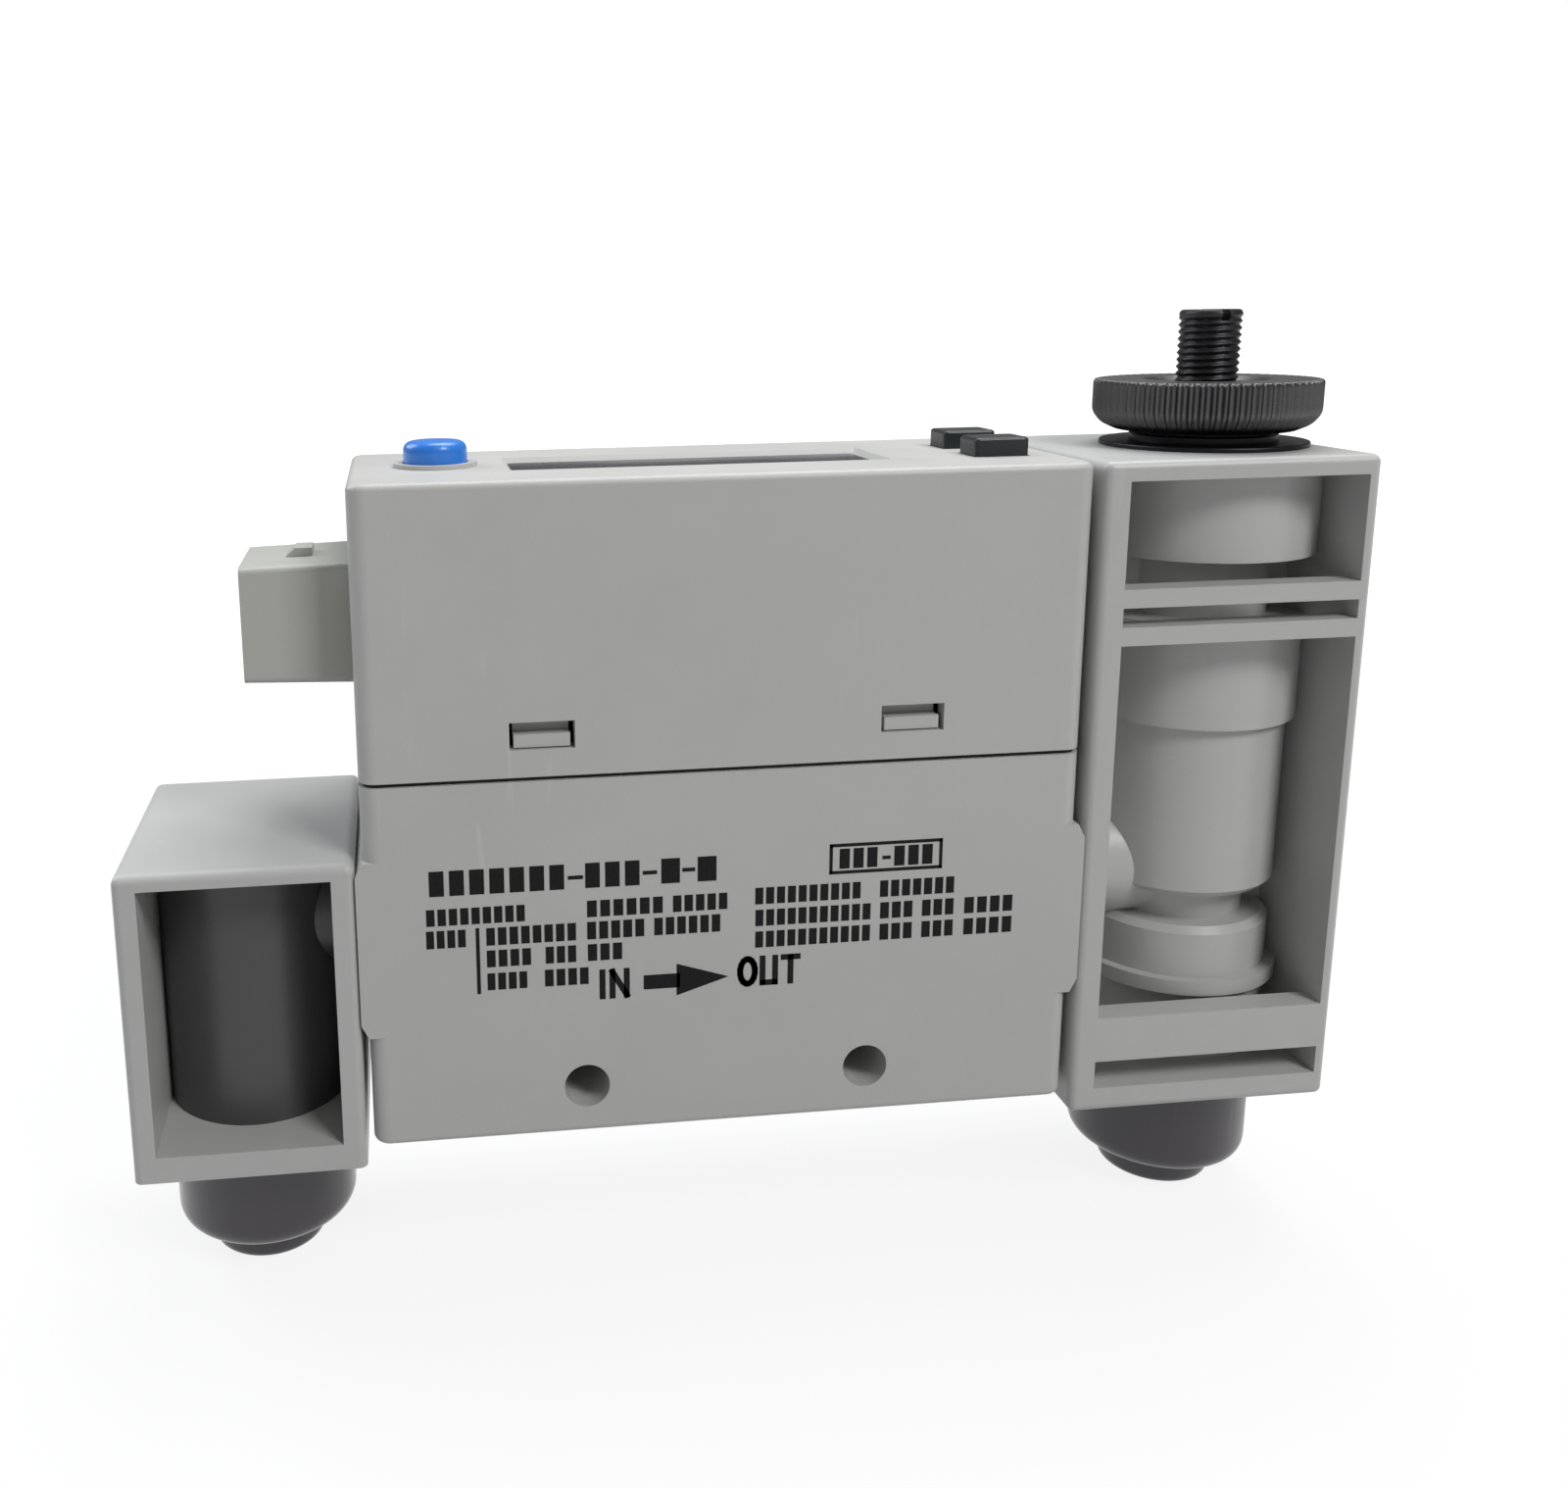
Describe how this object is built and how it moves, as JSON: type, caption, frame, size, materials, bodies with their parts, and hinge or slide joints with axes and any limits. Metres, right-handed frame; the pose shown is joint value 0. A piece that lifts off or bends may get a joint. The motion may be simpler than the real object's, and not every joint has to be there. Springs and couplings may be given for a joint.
{
  "type": "digital flow switch",
  "caption": "Compact air flow switch with a display face, keys, a connector socket, bottom push-in tube ports and a needle valve with a knurled lock nut.",
  "frame": {"origin": "middle of the footprint, on the surface that the release buttons stand on", "axes": "+X along the flow from the inlet to the outlet, -Y the label face, +Z the display face"},
  "size_m": [0.0871, 0.02, 0.068],
  "materials": {
    "case_plastic": "fine satin moulding",
    "frame_plastic": "fine satin moulding",
    "dark_plastic": "smooth moulding with a dull gloss",
    "blue_plastic": "smooth gloss",
    "button_plastic": "smooth gloss",
    "lens_plastic": "polished",
    "display_glass": "polished",
    "board": "solder mask",
    "chip": "dull moulding",
    "switch_plastic": "dull moulding",
    "contact_metal": "plated",
    "stainless": "brushed",
    "needle_metal": "nickel plated",
    "nut_metal": "satin anodised, knurled",
    "bush_metal": "blackened",
    "rubber_black": "dull",
    "socket_plastic": "fine satin moulding",
    "elbow_plastic": "smooth moulding",
    "collet_metal": "stamped spring steel"
  },
  "bodies": {
    "base": {"upper_case": "case_plastic", "lower_body": "case_plastic", "case_gasket": "rubber_black", "display_window": "lens_plastic", "display_module": "display_glass", "main_board": "board", "set_switch": "switch_plastic", "up_switch": "switch_plastic", "down_switch": "switch_plastic", "sensor_board": "board", "flow_sensor_chip": "chip", "sensor_gasket": "rubber_black", "board_header": "contact_metal", "inlet_screen": "stainless", "outlet_screen": "stainless", "measuring_orifice": "dark_plastic", "connector_socket": "socket_plastic", "connector_pins": "contact_metal", "out_valve_body": "frame_plastic", "in_port_block": "frame_plastic", "in_elbow": "elbow_plastic", "in_port_o_ring": "rubber_black", "out_port_o_ring": "rubber_black", "in_port_clip": "stainless", "out_port_clip": "stainless", "needle_guide": "bush_metal", "valve_seat": "stainless", "in_tube_seal": "rubber_black", "in_seal_spacer": "dark_plastic", "in_collet": "collet_metal", "in_guide_ring": "dark_plastic", "out_tube_seal": "rubber_black", "out_seal_spacer": "dark_plastic", "out_collet": "collet_metal", "out_guide_ring": "dark_plastic"},
    "set_key": {"set_button": "blue_plastic"},
    "up_key": {"up_button": "button_plastic"},
    "down_key": {"down_button": "button_plastic"},
    "needle_seal": {"needle_o_ring": "rubber_black"},
    "needle_stem": {"needle": "needle_metal"},
    "nut_ring": {"nut_friction_ring": "rubber_black"},
    "nut": {"lock_nut": "nut_metal"},
    "in_release": {"in_release_button": "dark_plastic"},
    "out_release": {"out_release_button": "dark_plastic"}
  },
  "joints": [
    {"name": "set_press", "type": "slide", "parent": "base", "child": "set_key", "axis": [0, 0, -1], "range_m": [0, 0.0004], "stiffness_N_per_m": 1000, "springref_m": -0.0004},
    {"name": "up_press", "type": "slide", "parent": "base", "child": "up_key", "axis": [0, 0, -1], "range_m": [0, 0.0004], "stiffness_N_per_m": 1000, "springref_m": -0.0004},
    {"name": "down_press", "type": "slide", "parent": "base", "child": "down_key", "axis": [0, 0, -1], "range_m": [0, 0.0004], "stiffness_N_per_m": 1000, "springref_m": -0.0004},
    {"name": "needle_rise", "type": "slide", "parent": "base", "child": "needle_seal", "axis": [0, 0, 1], "range_m": [-0.001, 0.002]},
    {"name": "needle_turn", "type": "hinge", "parent": "needle_seal", "child": "needle_stem", "pos_m": [0.0359, 0, 0.0583], "axis": [0, 0, 1], "range_deg": [-726, 1452]},
    {"name": "nut_rise", "type": "slide", "parent": "base", "child": "nut_ring", "axis": [0, 0, 1], "range_m": [0, 0.0015]},
    {"name": "nut_turn", "type": "hinge", "parent": "nut_ring", "child": "nut", "pos_m": [0.0359, 0, 0.0583], "axis": [0, 0, 1], "range_deg": [0, 1090]},
    {"name": "in_release_press", "type": "slide", "parent": "base", "child": "in_release", "axis": [0, 0, 1], "range_m": [0, 0.0008], "stiffness_N_per_m": 3000, "springref_m": -0.002},
    {"name": "out_release_press", "type": "slide", "parent": "base", "child": "out_release", "axis": [0, 0, 1], "range_m": [0, 0.0008], "stiffness_N_per_m": 3000, "springref_m": -0.002}
  ],
  "couplings": [
    {"joint": "needle_turn", "follows": "needle_rise", "rad_per_m": 12566},
    {"joint": "nut_turn", "follows": "nut_rise", "rad_per_m": 12566}
  ]
}
